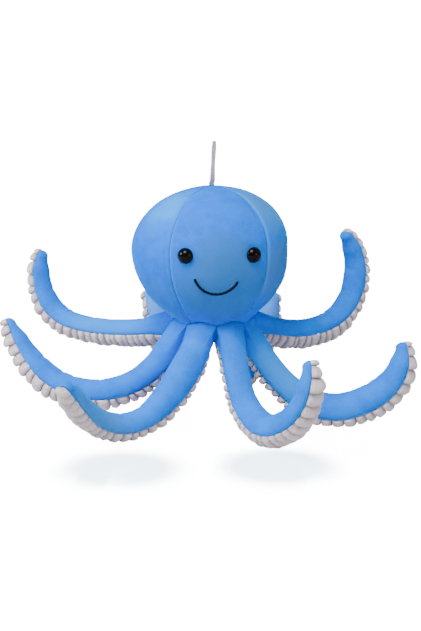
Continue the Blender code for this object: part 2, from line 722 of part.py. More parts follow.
def build():
    """Build the toy, then put its origin under the middle of its box."""
    toy = bpy.data.objects.new("plush_octopus_origin", None)
    PARTS.objects.link(toy)
    panels = {name: build_panel(name, start, end, toy)
              for name, start, end in zip(PANEL_NAMES, PANEL_SEAMS, PANEL_SEAMS[1:])}
    filling = build_head_filling(toy)
    build_base_panel(toy)
    for side, azimuth in (("left", FACE_TURN - EYE_AZIMUTH), ("right", FACE_TURN + EYE_AZIMUTH)):
        build_eye(side, azimuth, panels["head_panel_face"], filling, toy)
    build_mouth(toy)
    build_loop(toy, filling)
    floor = floor_cutter(toy)
    for name, pose in ARM_POSES.items():
        build_arm(name, pose, toy, floor)
    low, high = world_box()
    toy.location = (-(low.x + high.x) / 2, -(low.y + high.y) / 2, 0.0)
    bpy.context.view_layer.update()
    print("box", [round(v / MM, 2) for v in (*low, *high)])
    for obj in PARTS.objects:
        if obj.name.endswith("_pivot"):
            print(obj.name, [round(v, 6) for v in obj.matrix_world.translation])


build()
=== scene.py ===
"""A plush octopus: a stuffed velour head on eight curled arms, gathered and white underneath."""
import json
import math
import random

import bpy
from mathutils import Matrix, Vector, noise


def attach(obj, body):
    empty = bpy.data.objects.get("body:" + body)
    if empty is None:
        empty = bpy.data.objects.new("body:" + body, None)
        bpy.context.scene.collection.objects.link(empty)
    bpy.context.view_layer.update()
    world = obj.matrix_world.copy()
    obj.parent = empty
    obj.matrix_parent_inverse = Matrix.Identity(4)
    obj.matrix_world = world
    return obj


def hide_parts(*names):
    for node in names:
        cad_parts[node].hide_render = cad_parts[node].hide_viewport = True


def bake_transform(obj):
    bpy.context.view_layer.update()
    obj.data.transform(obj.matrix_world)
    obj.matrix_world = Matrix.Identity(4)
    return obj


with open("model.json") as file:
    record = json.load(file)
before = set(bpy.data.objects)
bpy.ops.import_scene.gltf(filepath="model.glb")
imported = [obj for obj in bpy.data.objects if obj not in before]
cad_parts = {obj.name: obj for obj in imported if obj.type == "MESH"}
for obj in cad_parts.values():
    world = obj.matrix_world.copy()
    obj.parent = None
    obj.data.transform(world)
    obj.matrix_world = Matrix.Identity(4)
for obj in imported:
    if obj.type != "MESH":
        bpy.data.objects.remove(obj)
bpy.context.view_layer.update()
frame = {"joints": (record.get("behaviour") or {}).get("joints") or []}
bpy.ops.object.select_all(action="DESELECT")
joints = {joint["name"]: joint for joint in frame["joints"]}

# The stage: a white table in front of a bright white backdrop. A wide soft panel hangs overhead,
# with a large soft window on the left and a weak one on the right. The toy is seen from a little
# above its face and a little to the left of it.
MM = 0.001
LOOP_FOOT = Vector(joints["hang_loop_foot"]["pos_m"])
ROOT_Z = joints["arm_front_left_root"]["pos_m"][2]
AIM_ASIDE = 1.2 * MM
AIM_OVER_ROOTS = 14.6 * MM
CAMERA_AIM = Vector((LOOP_FOOT.x - AIM_ASIDE, LOOP_FOOT.y, ROOT_Z + AIM_OVER_ROOTS))
CAMERA_DISTANCE = 1342 * MM
CAMERA_TURN = math.radians(-7)
CAMERA_RISE = math.radians(10)
PHOTO_HEIGHT_PX = 631
FOCAL_PX = 1100
SENSOR = 36.0
WHITE = (1.0, 1.0, 1.0)


def look_from(obj, place, aim):
    """Put a lamp or camera at a place, looking at a point."""
    obj.location = place
    obj.rotation_euler = (Vector(aim) - Vector(place)).to_track_quat("-Z", "Y").to_euler()


away = Vector((math.sin(CAMERA_TURN) * math.cos(CAMERA_RISE),
               -math.cos(CAMERA_TURN) * math.cos(CAMERA_RISE), math.sin(CAMERA_RISE)))
bpy.ops.object.camera_add()
camera = bpy.context.object
camera.data.sensor_width = SENSOR
camera.data.lens = SENSOR * FOCAL_PX / PHOTO_HEIGHT_PX
look_from(camera, CAMERA_AIM + away * CAMERA_DISTANCE, CAMERA_AIM)
bpy.context.scene.camera = camera

# each lamp's place and width in metres, its power in watts and its tint
LAMPS = {
    "overhead": ((-0.5, -0.8, 1.65), 0.9, 46.0, (1.0, 0.99, 0.98)),
    "window": ((-1.75, -0.2, 0.95), 0.7, 31.0, WHITE),
    "fill": ((1.3, -1.5, 0.6), 0.9, 10.0, (0.95, 0.97, 1.0)),
}
for lamp_name, (lamp_place, width, power, tint) in LAMPS.items():
    bpy.ops.object.light_add(type="AREA")
    lamp = bpy.context.object
    lamp.name = lamp_name
    lamp.data.shape = "RECTANGLE"
    lamp.data.size = width
    lamp.data.size_y = width
    lamp.data.energy = power
    lamp.data.color = tint
    look_from(lamp, lamp_place, CAMERA_AIM)


class Wire:
    """A value inside a material; arithmetic on it adds the nodes."""

    def __init__(self, tree, socket):
        self.tree = tree
        self.socket = socket

    def math(self, operation, *values):
        """A Math node on these values."""
        return add_node(self.tree, "ShaderNodeMath", {"operation": operation}, *values)

    def __add__(self, other):
        return self.math("ADD", self, other)

    def __sub__(self, other):
        return self.math("SUBTRACT", self, other)

    def __rsub__(self, other):
        return self.math("SUBTRACT", other, self)

    def __mul__(self, other):
        return self.math("MULTIPLY", self, other)

    def __abs__(self):
        return self.math("ABSOLUTE", self)

    __radd__ = __add__
    __rmul__ = __mul__

    def between(self, low, high):
        """Smoothly from 0 to 1 as the value goes from low to high."""
        return add_node(self.tree, "ShaderNodeMapRange", {"interpolation_type": "SMOOTHSTEP"},
                        self, low, high, 0.0, 1.0)


def add_node(tree, kind, settings=None, *values, out=0, **named):
    """Add a node: its settings first, then the values or links of its sockets."""
    node = tree.nodes.new(kind)
    for key, value in (settings or {}).items():
        setattr(node, key, value)
    set_sockets(node, *values, **named)
    return Wire(tree, node.outputs[out])


def set_sockets(node, *values, **named):
    """Give a node's sockets their values or links, in order or by name."""
    for key, value in [*enumerate(values), *named.items()]:
        give(node.inputs[key.replace("_", " ") if isinstance(key, str) else key], value)


def give(socket, value):
    """Set a socket, or link it."""
    if isinstance(value, Wire):
        value.tree.links.new(value.socket, socket)
    else:
        socket.default_value = value


def new_material(name):
    """A new material, its tree and its shader."""
    mat = bpy.data.materials.new(name)
    mat.use_nodes = True
    return mat, mat.node_tree, mat.node_tree.nodes["Principled BSDF"]


def mix(tree, factor, low, high):
    """A colour between two colours."""
    node = tree.nodes.new("ShaderNodeMix")
    node.data_type = "RGBA"
    give(node.inputs[0], factor)
    for number, tint in ((6, low), (7, high)):
        give(node.inputs[number], tint if isinstance(tint, Wire) else (*tint, 1.0))
    return Wire(tree, node.outputs[2])


def spot(tree, kind="Object"):
    """Where a point is on its piece."""
    return add_node(tree, "ShaderNodeTexCoord", out=kind)


def distance_to(tree, centre):
    """How far a point of a piece is from a place."""
    return add_node(tree, "ShaderNodeVectorMath", {"operation": "DISTANCE"}, spot(tree), centre,
                    out="Value")


def speckle(tree, scale, detail=2.0, roughness=0.5):
    """Random grain between 0 and 1 over a piece."""
    return add_node(tree, "ShaderNodeTexNoise", None, spot(tree), Scale=scale, Detail=detail,
                    Roughness=roughness)


# the backdrop is bright to the camera and in the table's gloss behind the toy, and lights little
AMBIENT = 0.32
BACKDROP = 16.0
MIRRORED_BACKDROP = 45.0
MIRRORED_FROM = (0.8, 0.93)
world = bpy.data.worlds.new("studio")
bpy.context.scene.world = world
world.use_nodes = True
tree = world.node_tree
seen = add_node(tree, "ShaderNodeLightPath", out="Is Camera Ray")
mirrored = add_node(tree, "ShaderNodeLightPath", out="Is Glossy Ray")
behind = add_node(tree, "ShaderNodeSeparateXYZ", None, spot(tree, "Generated"), out="Y")
strength = seen * BACKDROP + mirrored * behind.between(*MIRRORED_FROM) * MIRRORED_BACKDROP + AMBIENT
set_sockets(tree.nodes["Background"], Color=(*WHITE, 1.0), Strength=strength)

# the table is matt and glows evenly white to the camera; under each front arm is a soft glossy
# place whose glow is dimmer and tinted blue, a painted reflection of the arm: its x, y and reach in
# metres
TABLE_SIZE = 8
TABLE_HAZE = 3.0
TABLE_TONES = ((0.55, 0.55, 0.56), (0.60, 0.60, 0.60))
TABLE_GLOW = 15.0
PAINTED_REFLECTION_GLOW = 5.0
PAINTED_REFLECTION_TINT = (0.70, 0.89, 1.0)
GLOSS_AND_PAINTED_REFLECTION_PLACES = ((-0.108, -0.2, 0.085), (0.058, -0.21, 0.085))
GLOSSY_CORE = 0.5
GRAZING = (0.5, 0.7)
UNLIT = (0.0, 0.0, 0.0)
bpy.ops.mesh.primitive_plane_add(size=TABLE_SIZE)
table = bpy.context.object
table.name = "white_table"
white_top, tree, glossy_painted_reflection = new_material("white_table_top")
lit = add_node(tree, "ShaderNodeLightPath", out="Is Camera Ray")
tone = mix(tree, speckle(tree, TABLE_HAZE), *TABLE_TONES)
# the glossy places' dimmer blue glow to the camera is a painted reflection of the arms
set_sockets(glossy_painted_reflection, Base_Color=tone, Roughness=0.12, Emission_Strength=PAINTED_REFLECTION_GLOW,
            Emission_Color=mix(tree, lit, UNLIT, PAINTED_REFLECTION_TINT))
matt = tree.nodes.new("ShaderNodeBsdfPrincipled")
set_sockets(matt, Base_Color=tone, Roughness=0.6, Emission_Strength=TABLE_GLOW,
            Emission_Color=mix(tree, lit, UNLIT, WHITE))
gloss_and_painted_reflection = 0.0
for x, y, reach in GLOSS_AND_PAINTED_REFLECTION_PLACES:
    off = distance_to(tree, (x, y, 0.0))
    gloss_and_painted_reflection = off.math("MAXIMUM", gloss_and_painted_reflection, 1 - off.between(reach * GLOSSY_CORE, reach))
gloss_and_painted_reflection *= add_node(tree, "ShaderNodeLayerWeight", None, 0.5, out="Facing").between(*GRAZING)
top = add_node(tree, "ShaderNodeMixShader", None, gloss_and_painted_reflection, Wire(tree, matt.outputs[0]),
               Wire(tree, glossy_painted_reflection.outputs[0]))
set_sockets(tree.nodes["Material Output"], Surface=top)
table.data.materials.append(white_top)

# The head: five panels of short-pile blue velour, cut as gores, sewn edge to edge and stuffed hard.
# Their edges are turned in at the seams, from the crown to the neck, with a pale line of painted
# sheen and a thin dark line of painted shade along them. The pile is brushed in random patches;
# soft patches of painted shade dull the lower face, the lower left and the right side, one of
# painted light brightens the top of the left side, and the eyes are pulled a little into the face.
AXIS = LOOP_FOOT.to_2d()
HEAD_RADIUS = 94 * MM
HEAD_RING_Z = ROOT_Z + 97.5 * MM
HEAD_RISE = 75 * MM
HEAD_DROP = 95 * MM
SQUARENESS = 2.09
CROWN_HOLE = 2.5 * MM
UPPER_SHARE = 0.5
LOWEST_SINE = 0.93
NECK_RADIUS = 47.5 * MM
NECK_EASE = 5 * MM
NECK_SEAM_Z = ROOT_Z + 13 * MM
NECK_SCALLOP = 2.4 * MM
HEAD_LEAN = (-2.9 * MM, 3.3 * MM)
LEAN_REACH = 0.4 * HEAD_RADIUS
CHEEK = 2.8 * MM
CHEEK_Z = ROOT_Z + 60 * MM
CHEEK_REACH = 24 * MM
# each panel's first and last azimuth in degrees, from the face
PANELS = {
    "head_panel_back_left": (-180, -109),
    "head_panel_left": (-109, -38),
    "head_panel_face": (-38, 38),
    "head_panel_right": (38, 109),
    "head_panel_back_right": (109, 180),
}
PANEL_ACROSS = 44
PANEL_DOWN = 80
PANEL_WALL = 1.1 * MM
SEAM_DEPTH = 1.3 * MM
SEAM_START = 0.35
SEAM_FULL_SHARE = 0.25
SEAM_TUCK = 1.8 * MM
SEAM_TUCK_SHARE = 0.035
HEM_TUCK = 1.6 * MM
HEM_SHARE = 0.015
PUCKER_DEPTH = 0.16 * MM
PUCKER_PITCH = 2.3 * MM
HEAD_LUMPS = ((0.55 * MM, 46 * MM, 3), (0.22 * MM, 15 * MM, 8))
EYE_TURN = -0.8
EYE_AZIMUTH = 24.5
EYE_RISE = 1 * MM
EYE_PROUD = 0.25 * MM
EYE_RADIUS = 9 * MM
EYE_DIMPLE = 1.1 * MM
DIMPLE_START = 0.75
DIMPLE_REACH = 0.8
SMOOTH_CLOTH = math.radians(50)
HEAD_BLUES = ((0.0, 0.12, 0.78), (0.0, 0.155, 0.90), (0.0, 0.24, 0.97))
# tints of painted shade and painted light for patches, then of the painted sheen and painted shade
# along the seams
DULL_BLUE_PAINTED_SHADE = (0.035, 0.175, 0.50)
GREY_BLUE_PAINTED_SHADE = (0.06, 0.20, 0.56)
TEAL_PAINTED_SHADE = (0.05, 0.25, 0.66)
BLUE_PAINTED_LIGHT = (0.02, 0.33, 0.96)
PALE_BLUE_PAINTED_SHEEN = (0.03, 0.36, 0.98)
SEAM_BLUE_PAINTED_SHADE = (0.0, 0.04, 0.35)
BLUE_SHEEN = (0.0, 0.5, 1.0, 1.0)
PATCH_EDGE = 0.06
PATCH_CORE = 0.35
# the scale, detail and roughness of each grain of the cloth
BRUSHED_PATCHES = (34.0, 3.0, 0.55)
BRUSHED_STREAKS = (340.0, 4.0, 0.75)
PILE = (900.0, 2.0, 0.7)
# patches of painted light and painted shade: the middle and reach of a patch in metres, its share
# and its tint
PANEL_PAINTED_LIGHT_AND_SHADE = {
    "head_panel_face": (((0.02, -0.088, 0.172), 0.085, 0.9, DULL_BLUE_PAINTED_SHADE),),
    "head_panel_left": (((-0.045, -0.045, 0.278), 0.055, 0.85, BLUE_PAINTED_LIGHT),
                        ((-0.04, -0.04, 0.15), 0.05, 0.5, DULL_BLUE_PAINTED_SHADE)),
    "head_panel_right": (((0.075, -0.045, 0.27), 0.06, 0.85, TEAL_PAINTED_SHADE),
                         ((0.09, -0.06, 0.19), 0.06, 0.85, GREY_BLUE_PAINTED_SHADE)),
}


def across_cloth(tree):
    """Share of the way across a piece of cloth."""
    return add_node(tree, "ShaderNodeSeparateXYZ", None, spot(tree, "UV"), out="X")


def relief(tree, height, strength, distance):
    """Fine relief in a surface."""
    return add_node(tree, "ShaderNodeBump", None, Strength=strength, Distance=distance,
                    Height=height)


def velour(name, deep, middle, brushed, painted_light_and_shade):
    """Short-pile velour: grain, sheen, painted sheen and shade lines by the seams, painted light
    and shade patches.
    """
    mat, tree, shader = new_material(name)
    seam = abs(across_cloth(tree) * 2 - 1)
    patches = speckle(tree, *BRUSHED_PATCHES)
    streaks = speckle(tree, *BRUSHED_STREAKS)
    pile = speckle(tree, *PILE)
    tone = mix(tree, patches.between(0.36, 0.62), deep, middle)
    tone = mix(tree, streaks.between(0.45, 0.8) * 0.4, tone, brushed)
    # patches of painted light and painted shade laid over the cloth's colour
    for centre, reach, strength, tint in painted_light_and_shade:
        off = distance_to(tree, centre) + (patches - 0.5) * PATCH_EDGE
        tone = mix(tree, (1 - off.between(reach * PATCH_CORE, reach)) * strength, tone, tint)
    tone = mix(tree, pile.between(0.3, 0.75) * 0.3, tone, brushed)
    # a pale line of painted sheen and a thin dark line of painted shade along the seams
    tone = mix(tree, seam.between(0.90, 0.97) * 0.3, tone, PALE_BLUE_PAINTED_SHEEN)
    tone = mix(tree, seam.between(0.978, 0.995) * 0.35, tone, SEAM_BLUE_PAINTED_SHADE)
    set_sockets(shader, Base_Color=tone, Roughness=0.95, Specular_IOR_Level=0.0, Sheen_Weight=0.5,
                Sheen_Roughness=0.35, Sheen_Tint=BLUE_SHEEN,
                Normal=relief(tree, pile * 0.7 + streaks * 0.5, 0.55, 0.28 * MM))
    return mat


def smooth(value):
    """Ease from 0 to 1."""
    value = min(max(value, 0.0), 1.0)
    return value * value * (3 - 2 * value)


def at_end(share, width):
    """Ease from 0 to 1 over the last width of a share."""
    return smooth((share - (1 - width)) / width)


def sheet_of(name, across, along, place, crease=None):
    """A grid of quads laid onto a surface: place gives the point at two shares of the sheet."""
    bpy.ops.mesh.primitive_grid_add(x_subdivisions=across, y_subdivisions=along, size=2)
    obj = bpy.context.object
    obj.name = name
    # each point can keep how deep it lies in a crease, for the painted crease shade
    shade = obj.data.attributes.new("crease", "FLOAT", "POINT") if crease else None
    for vert in obj.data.vertices:
        u, v = (vert.co.x + 1) / 2, (vert.co.y + 1) / 2
        vert.co = place(u, v)
        if crease:
            shade.data[vert.index].value = crease(v)
    obj.data.flip_normals()
    return obj


def pick(obj):
    """Make a piece the only one selected."""
    bpy.ops.object.select_all(action="DESELECT")
    obj.select_set(True)
    bpy.context.view_layer.objects.active = obj


def give_wall(obj, thickness):
    """Give an open sheet its thickness on the inside and shade it smooth."""
    pick(obj)
    wall = obj.modifiers.new("wall", "SOLIDIFY")
    wall.thickness = thickness
    wall.offset = -1.0
    bpy.ops.object.modifier_apply(modifier=wall.name)
    bpy.ops.object.shade_smooth_by_angle(angle=SMOOTH_CLOTH)


def lump(point, size, seed):
    """Soft random height between -1 and 1 with lumps of a size."""
    return noise.noise(point / size + Vector((seed, -seed, 0.5 * seed)))


def lumps(point, rows, seed=0):
    """How far the stuffing lifts the cloth: a height, a size and a seed for each size of lump."""
    return sum(height * lump(point, size, seed + own_seed) for height, size, own_seed in rows)


def around(azimuth, radius, z, aside=0.0):
    """A point at an azimuth and a radius from the toy's axis, counted from the face."""
    return Vector((AXIS.x + radius * math.sin(azimuth) + aside,
                   AXIS.y - radius * math.cos(azimuth), z))


def neck_z(azimuth):
    """Height of the neck seam, which rises over each arm and dips between arms."""
    return NECK_SEAM_Z - NECK_SCALLOP * math.cos(8 * azimuth)


def head_profile(v, azimuth):
    """Radius, height and outward slope of the head, from the crown at 0 to the neck seam at 1."""
    if v < UPPER_SHARE:
        top = math.acos((CROWN_HOLE / HEAD_RADIUS) ** (SQUARENESS / 2))
        angle = top * (1 - v / UPPER_SHARE)
        power = 2 / SQUARENESS
        radius = HEAD_RADIUS * math.cos(angle) ** power
        z = HEAD_RING_Z + HEAD_RISE * math.sin(angle) ** power
        slope = Vector((math.cos(angle) / HEAD_RADIUS, math.sin(angle) / HEAD_RISE))
        return radius, z, slope.normalized()
    down = (v - UPPER_SHARE) / (1 - UPPER_SHARE)
    z = HEAD_RING_Z + (neck_z(azimuth) - HEAD_RING_Z) * math.sin(down * math.pi / 2)
    sine = min((HEAD_RING_Z - z) / HEAD_DROP, LOWEST_SINE)
    cosine = math.sqrt(1 - sine * sine)
    over_neck = (HEAD_RADIUS * cosine - NECK_RADIUS) / NECK_EASE
    radius = NECK_RADIUS + NECK_EASE * math.log1p(math.exp(over_neck))
    return radius, z, Vector((cosine, -sine)).normalized()


def head_point(azimuth, v, depth):
    """A point of the head a depth under its plain skin; the stuffed head leans a little."""
    radius, z, normal = head_profile(v, azimuth)
    low, high = HEAD_LEAN
    if z > HEAD_RING_Z:
        lean = low + (high - low) * (z - HEAD_RING_Z) / HEAD_RISE
    else:
        lean = low * (1 - smooth((HEAD_RING_Z - z) / (HEAD_RING_Z - NECK_SEAM_Z)))
    lean *= math.sin(azimuth) ** 2 * smooth(radius / LEAN_REACH)
    cheek = CHEEK * max(0.0, math.sin(azimuth)) ** 2 * math.exp(-((z - CHEEK_Z) / CHEEK_REACH) ** 2)
    return around(azimuth, radius + cheek - depth * normal.x, z - depth * normal.y, lean)


def eye_seat(side):
    """Where an eye sits on the face, and the way it looks."""
    azimuth = math.radians(EYE_TURN + side * EYE_AZIMUTH)
    outward = Vector((math.sin(azimuth), -math.cos(azimuth), 0.0))
    seat = Vector((AXIS.x, AXIS.y, HEAD_RING_Z + EYE_RISE)) + outward * (HEAD_RADIUS + EYE_PROUD)
    return seat, outward


def panel_point(number, start, end, u, v):
    """A point of a head panel, across it and from the crown down."""
    seam = abs(2 * u - 1)
    azimuth = math.radians(start + (end - start) * u)
    fade = smooth(v / SEAM_FULL_SHARE)
    depth = SEAM_DEPTH * seam**11 * (SEAM_START + (1 - SEAM_START) * fade)
    depth += SEAM_TUCK * at_end(seam, SEAM_TUCK_SHARE)
    at = head_point(azimuth, v, depth)
    depth += PUCKER_DEPTH * math.sin(at.z / PUCKER_PITCH + 3 * number) * seam**14 * fade
    depth += HEM_TUCK * at_end(v, HEM_SHARE) - lumps(at, HEAD_LUMPS) * (1 - seam**6)
    from_eye = min((at - seat).length for seat in seats) / EYE_RADIUS
    depth += EYE_DIMPLE * (1 - smooth((from_eye - DIMPLE_START) / DIMPLE_REACH))
    return head_point(azimuth, v, depth)


head_velour = velour("blue_velour_back", *HEAD_BLUES, ())
seats = [eye_seat(side)[0] for side in (-1, 1)]
for number, (name, (start, end)) in enumerate(PANELS.items()):
    panel = sheet_of(name + "_velour", PANEL_ACROSS, PANEL_DOWN,
                     lambda u, v: panel_point(number, start, end, u, v))
    give_wall(panel, PANEL_WALL)
    cloth = head_velour
    if name in PANEL_PAINTED_LIGHT_AND_SHADE:
        cloth = velour(name.replace("head_panel", "blue_velour"), *HEAD_BLUES, PANEL_PAINTED_LIGHT_AND_SHADE[name])
    panel.data.materials.append(cloth)
    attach(panel, "head")
    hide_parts(*([name, "head_filling"] if name == "head_panel_face" else [name]))

# The neck band: a strip of the same velour inside the neck seam, which the panels and the arms are
# sewn to. Only its edge shows, where two arms and a panel meet.
BAND_HEIGHTS = (-11, -4, 4, 14, 22, 30)
BAND_RADII = (36, 42, 45, 45.8, 47, 50)
BAND_AROUND = 160
BAND_ROWS = 16
BAND_WALL = 0.8 * MM
WELD = 0.01 * MM


def curve_value(values, share):
    """Read a smooth curve through evenly spaced values."""
    last = len(values) - 1
    place = min(max(share, 0.0), 1.0) * last
    i = min(int(place), last - 1)
    u = place - i
    start_slope = (values[i + 1] - values[max(i - 1, 0)]) / (2 if i > 0 else 1)
    end_slope = (values[min(i + 2, last)] - values[i]) / (2 if i + 2 <= last else 1)
    return ((2 * u**3 - 3 * u**2 + 1) * values[i] + (u**3 - 2 * u**2 + u) * start_slope
            + (3 * u**2 - 2 * u**3) * values[i + 1] + (u**3 - u**2) * end_slope)


def band_place(u, v):
    """A point of the neck band, from its lower edge up."""
    z = ROOT_Z + curve_value(BAND_HEIGHTS, v) * MM
    return around(math.tau * u, curve_value(BAND_RADII, v) * MM, z)


def edit(obj, *steps):
    """Work on a piece in edit mode, with all of it selected for each step."""
    pick(obj)
    bpy.ops.object.mode_set(mode="EDIT")
    for step, settings in steps:
        bpy.ops.mesh.select_all(action="SELECT")
        step(**settings)
    bpy.ops.object.mode_set(mode="OBJECT")


band = sheet_of("neck_band", BAND_AROUND, BAND_ROWS, band_place)
edit(band, (bpy.ops.mesh.remove_doubles, {"threshold": WELD}))
give_wall(band, BAND_WALL)
band.data.materials.append(head_velour)
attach(band, "head")

# The arms' covers: a long strip of the same velour over the top of each arm, sewn to the neck seam
# at its root and turned in along both side seams. The stuffing holds each arm in its curl, and the
# inside of a curl is drawn into a few soft creases.
ARM_LENGTH = 283 * MM
ARM_RADIUS = 17.4 * MM
KNUCKLE_RADIUS = 15.2 * MM
TIP_RADIUS = 9.3 * MM
SWELL_SHARES = ((0.12, 1.0), (0.5, 0.99), (0.75, 0.97), (0.92, 0.82))
SIDE_SEAM = math.radians(108)
TIP_START_SHARE = 0.955
ARM_STEPS = 264
# each arm's azimuth and lift, then its pitches, turns and rolls along its length, in degrees
ARMS = {
    "arm_front_left": (-22.5, -0.45, (-41, -49, -37, 16, 39, 37), (-2, -37, -48, -13, 3),
                       (10, -9, -2, -14, -15)),
    "arm_front_right": (22.5, 0.12, (-37, -65, -25, 19, 49, 100), (-20, -3, -2, 2, 2),
                        (-26, -17, -11, 13, 42)),
    "arm_side_left": (-67.5, 0.0, (-58, -44, -14, 15, 45, 64), (-4, -20, -36, -50, -53),
                      (-7, -9, 8, 27, 49)),
    "arm_side_right": (67.5, 0.44, (-60, -51, -30, 14, 47, 99), (0, 0, 3, 0, -7),
                       (6, 16, 11, 12, 25)),
    "arm_raised_left": (-112.5, 0.0, (-16, -9, -2, 14, 65, 108), (-1, -21, -14, -8, 1),
                        (8, 13, 14, 15, 2)),
    "arm_raised_right": (112.5, 0.0, (-17, -12, 5, 42, 90, 135), (-2, 0, 5, 12, 12),
                         (-6, -12, -22, -15, 0)),
    "arm_back_left": (-157.6, -0.33, (-52, -59, -29, 34, 57, 56), (2, -12, -18, -3, 14),
                      (-8, 6, 20, 28, 32)),
    "arm_back_right": (157.8, -0.43, (-50, -52, -33, 24, 58, 73), (-10, 0, -3, -18, -36),
                       (-1, -16, -16, -6, 5)),
}
# how much fuller each arm is along its length, in mm, and how far its tip stands out
STUFFING = {
    "arm_front_left": ((0, 2.6, -1.0, -1.2, 0), 0.95),
    "arm_front_right": ((0, -1.0, 1.6, 0.5, 0), 0.8),
    "arm_side_left": ((0, 0, 1.0, 1.6, 0), 0.95),
    "arm_side_right": ((0, 0.3, 2.8, 3.8, 1.0), 0.5),
    "arm_raised_left": ((0, -0.5, -0.8, 0.3, 0.4), 0.7),
    "arm_raised_right": ((0, 0.8, 1.2, 0.6, 0), 0.8),
    "arm_back_left": ((0, 0, 0.5, 3.0, 3.0), 0.95),
    "arm_back_right": ((0, -1.0, -1.0, 3.5, 3.5), 0.95),
}
ROOT_SHARE = 0.16
ROOT_DRAWN = 0.7
ROOT_CORNER = math.radians(58)
HALF_SECTOR = math.radians(22.0)
ROOT_LAP = 0.6 * MM
ROOT_SIDE_RADIUS = 33 * MM
ROOT_SIDE_Z = ROOT_Z - 9 * MM
ROOT_BASE_RADIUS = 27 * MM
ROOT_BASE_DROP = 3.5 * MM


def arm_radius(share):
    """Radius of an arm at a share of its length."""
    radii = [(0.0, KNUCKLE_RADIUS), *((s, ARM_RADIUS * r) for s, r in SWELL_SHARES)]
    radii.append((1.0, TIP_RADIUS))
    for (s0, r0), (s1, r1) in zip(radii, radii[1:]):
        if share <= s1:
            return r0 + (r1 - r0) * smooth((share - s0) / (s1 - s0))
    return TIP_RADIUS


class Arm:
    """The line of one arm, curled and set as sewn, and the skin around it."""

    def __init__(self, name):
        azimuth, lift, self.pitches, self.turns, self.rolls = ARMS[name]
        self.fuller, self.cap = STUFFING[name]
        self.name = name
        self.azimuth = math.radians(azimuth)
        self.seed = list(ARMS).index(name) + 1
        self.turn = (Matrix.Rotation(self.azimuth, 3, "Z")
                     @ Matrix.Rotation(-math.radians(lift), 3, "X"))
        self.centres = [Vector(joints[name + "_root"]["pos_m"])]
        for i in range(ARM_STEPS):
            along = self.frame((i + 0.5) / ARM_STEPS)[0]
            self.centres.append(self.centres[-1] + along * ARM_LENGTH / ARM_STEPS)

    def frame(self, share):
        """Along, up and side directions."""
        pitch, turn, roll = (math.radians(curve_value(angles, share))
                             for angles in (self.pitches, self.turns, self.rolls))
        along = Vector((math.sin(turn) * math.cos(pitch), -math.cos(turn) * math.cos(pitch),
                        math.sin(pitch)))
        up = Vector((-math.sin(turn) * math.sin(pitch), math.cos(turn) * math.sin(pitch),
                     math.cos(pitch)))
        up = Matrix.Rotation(roll, 3, along) @ up
        return self.turn @ along, self.turn @ up, self.turn @ up.cross(along)

    def centre(self, share):
        """Centre of the arm."""
        place = min(max(share, 0.0), 1.0) * ARM_STEPS
        i = min(int(place), ARM_STEPS - 1)
        return self.centres[i].lerp(self.centres[i + 1], place - i)

    def point(self, v, angle, rise):
        """A point at a share v of the skin, an angle from its top and a rise over the skin."""
        tilt = max(0.0, (v - TIP_START_SHARE) / (1 - TIP_START_SHARE)) * math.pi / 2
        share = min(v / TIP_START_SHARE, 1.0)
        along, up, side = self.frame(share)
        outward = math.cos(angle) * up + math.sin(angle) * side
        reach = arm_radius(share) + curve_value(self.fuller, share) * MM + rise
        toward = math.cos(tilt) * outward + math.sin(tilt) * self.cap * along
        return self.centre(share) + reach * toward

    def root_point(self, angle, rise):
        """Where the skin is sewn in: over the neck seam, down between arms and under the base."""
        sign = 1 if angle > 0 else -1
        from_top = abs(angle)
        if from_top <= ROOT_CORNER:
            azimuth = self.azimuth + sign * HALF_SECTOR * from_top / ROOT_CORNER
            return around(azimuth, NECK_RADIUS + rise, neck_z(azimuth) - ROOT_LAP)
        if from_top <= SIDE_SEAM:
            t = (from_top - ROOT_CORNER) / (SIDE_SEAM - ROOT_CORNER)
            azimuth = self.azimuth + sign * HALF_SECTOR
            radius = NECK_RADIUS + (ROOT_SIDE_RADIUS - NECK_RADIUS) * t + rise
            return around(azimuth, radius, neck_z(azimuth) + (ROOT_SIDE_Z - neck_z(azimuth)) * t)
        t = (from_top - SIDE_SEAM) / (math.pi - SIDE_SEAM)
        radius = ROOT_SIDE_RADIUS + (ROOT_BASE_RADIUS - ROOT_SIDE_RADIUS) * t
        return around(self.azimuth + sign * HALF_SECTOR * (1 - t), radius,
                      ROOT_SIDE_Z - ROOT_BASE_DROP * smooth(t))

    def skin(self, v, angle, rise):
        """The skin, easing from where it is sewn in at the root to the round arm."""
        point = self.point(v, angle, rise)
        if v < ROOT_SHARE:
            along = self.frame(0.0)[0]
            sewn = self.root_point(angle, rise) + along * v * ARM_LENGTH * ROOT_DRAWN
            point = sewn.lerp(point, smooth(v / ROOT_SHARE))
        return point

    def blend(self, obj):
        """Bake a piece's placement into its points."""
        along = self.frame(0.0)[0]
        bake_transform(obj)


COVER_ACROSS = 30
COVER_ALONG = 190
COVER_WALL = 0.9 * MM
COVER_SEAM_DIP = 0.9 * MM
COVER_TUCK = 1.6 * MM
COVER_TUCK_SHARE = 0.05
COVER_LUMPS = ((0.5 * MM, 30 * MM, 0), (0.22 * MM, 11 * MM, 5))
ROOT_SWELL = 6.0 * MM
ROOT_SWELL_FULL = 0.05
ROOT_SWELL_FALLS = 0.07
ROOT_SWELL_FALL = 0.1
CREASES_PER_ARM = 4
CREASES_START = 0.42
CREASES_RUN = 0.42
CREASE_JITTER = 0.7
CREASE_DEPTHS = (0.5, 1.3)
CREASE_LEAN = 0.35
CREASE_SLANT = 0.02
CREASE_SPREAD = 0.011
CREASE_AROUND = 1.3
ARM_BLUES = ((0.0, 0.15, 0.80), (0.0, 0.19, 0.92), (0.0, 0.28, 0.98))
# a pale hazy tint of painted light
HAZY_BLUE_PAINTED_LIGHT = (0.12, 0.36, 0.95)
